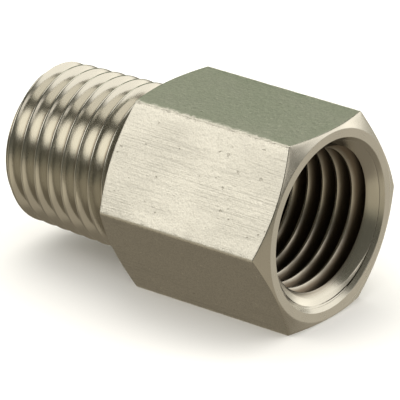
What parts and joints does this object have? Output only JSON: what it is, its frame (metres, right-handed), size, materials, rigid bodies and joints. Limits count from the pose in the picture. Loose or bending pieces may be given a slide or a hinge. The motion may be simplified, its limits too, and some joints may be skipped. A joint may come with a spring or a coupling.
{
  "type": "hex pipe adapter",
  "caption": "Hexagonal pipe adapter with a taper threaded male end, a taper threaded female port, chamfered hex ends and a through passage.",
  "frame": {"origin": "on the fitting's axis, in the plane of the shoulder that the male thread runs up to", "axes": "+X along the axis out of the female port, -X out of the male end, +Z square to the upper wrench flat; the fitting lies on its lower flat"},
  "size_m": [0.0284, 0.0184, 0.016],
  "materials": {
    "bar": "drawn stainless steel hexagon bar with turned ends, satin",
    "thread": "cut stainless steel thread, satin to bright"
  },
  "bodies": {
    "root": {"hex_body": "bar", "male_thread": "thread", "female_thread": "thread"}
  },
  "joints": []
}
